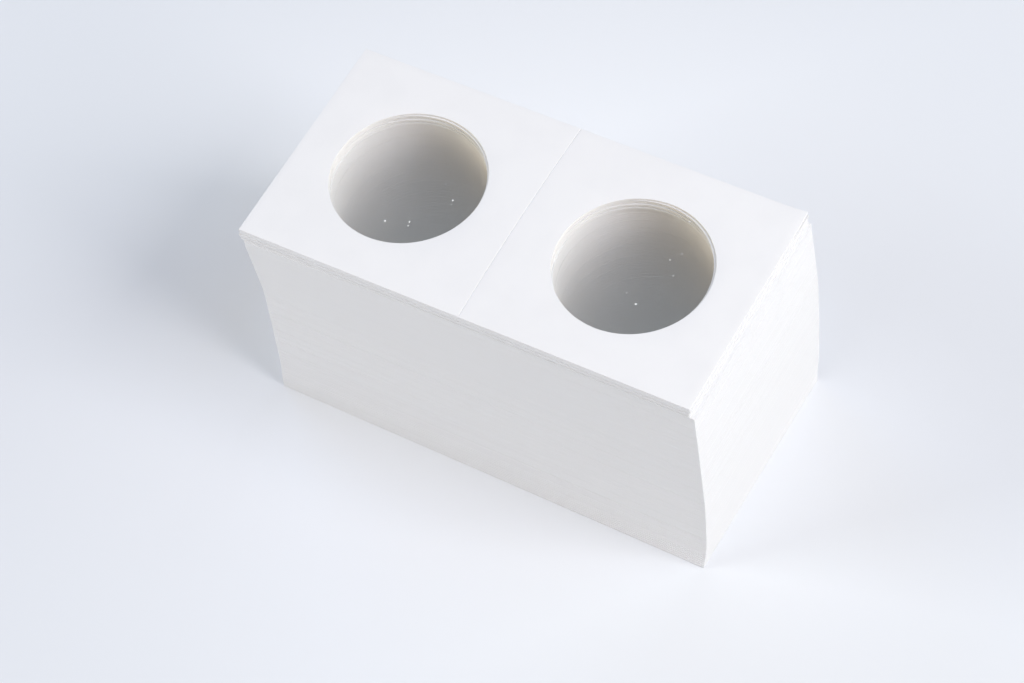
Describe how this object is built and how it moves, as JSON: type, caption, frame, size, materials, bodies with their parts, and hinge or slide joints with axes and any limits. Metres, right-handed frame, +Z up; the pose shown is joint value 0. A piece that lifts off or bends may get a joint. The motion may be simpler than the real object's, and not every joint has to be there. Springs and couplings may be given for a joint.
{
  "type": "coin holder flip",
  "caption": "Squared pile of opened cardboard coin holder flips, each a scored white card with a round window in each leaf behind clear film; the top flip folds and lifts.",
  "frame": {"origin": "centre of the underside of the lowest flip, where the pile stands", "axes": "+X along the long side of the opened flips, +Y to the back, +Z up out of the outer face of the top flip"},
  "size_m": [0.1033, 0.0537, 0.056],
  "materials": {
    "card": "smooth white board, matte",
    "film": "clear polyester"
  },
  "bodies": {
    "lower_pile": {"foot_cards": "card", "foot_film": "film", "deck_10_cards": "card", "deck_10_film": "film", "deck_11_cards": "card", "deck_11_film": "film", "deck_12_cards": "card", "deck_12_film": "film", "deck_13_cards": "card", "deck_13_film": "film"},
    "middle_pile": {"deck_05_cards": "card", "deck_05_film": "film", "deck_06_cards": "card", "deck_06_film": "film", "deck_07_cards": "card", "deck_07_film": "film", "deck_08_cards": "card", "deck_08_film": "film", "deck_09_cards": "card", "deck_09_film": "film"},
    "upper_pile": {"deck_01_cards": "card", "deck_01_film": "film", "deck_02_cards": "card", "deck_02_film": "film", "deck_03_cards": "card", "deck_03_film": "film", "deck_04_cards": "card", "deck_04_film": "film"},
    "flip_06": {"flip_06_card": "card", "flip_06_film": "film"},
    "flip_05": {"flip_05_card": "card", "flip_05_film": "film"},
    "flip_04": {"flip_04_card": "card", "flip_04_film": "film"},
    "flip_03": {"flip_03_card": "card", "flip_03_film": "film"},
    "flip_02": {"flip_02_card": "card", "flip_02_film": "film"},
    "flip_01_left": {"flip_01_left_leaf": "card", "flip_01_left_film": "film"},
    "flip_01_right": {"flip_01_right_leaf": "card", "flip_01_right_film": "film"}
  },
  "joints": [
    {"name": "middle_pile_lift", "type": "slide", "parent": "lower_pile", "child": "middle_pile", "axis": [0, 0, 1], "range_m": [0, 0.03]},
    {"name": "upper_pile_lift", "type": "slide", "parent": "middle_pile", "child": "upper_pile", "axis": [0, 0, 1], "range_m": [0, 0.03]},
    {"name": "flip_06_lift", "type": "slide", "parent": "upper_pile", "child": "flip_06", "axis": [0, 0, 1], "range_m": [0, 0.03]},
    {"name": "flip_05_lift", "type": "slide", "parent": "flip_06", "child": "flip_05", "axis": [0, 0, 1], "range_m": [0, 0.03]},
    {"name": "flip_04_lift", "type": "slide", "parent": "flip_05", "child": "flip_04", "axis": [0, 0, 1], "range_m": [0, 0.03]},
    {"name": "flip_03_lift", "type": "slide", "parent": "flip_04", "child": "flip_03", "axis": [0, 0, 1], "range_m": [0, 0.03]},
    {"name": "flip_02_lift", "type": "slide", "parent": "flip_03", "child": "flip_02", "axis": [0, 0, 1], "range_m": [0, 0.03]},
    {"name": "flip_01_lift", "type": "slide", "parent": "flip_02", "child": "flip_01_left", "axis": [0, 0, 1], "range_m": [0, 0.165]},
    {"name": "flip_01_fold", "type": "hinge", "parent": "flip_01_left", "child": "flip_01_right", "pos_m": [-0.00078, 0.00129, 0.05541], "axis": [0, 1, 0], "range_deg": [0, 180]}
  ],
  "couplings": [
    {"joint": "flip_01_fold", "follows": "flip_01_lift", "rad_per_m": 19}
  ]
}
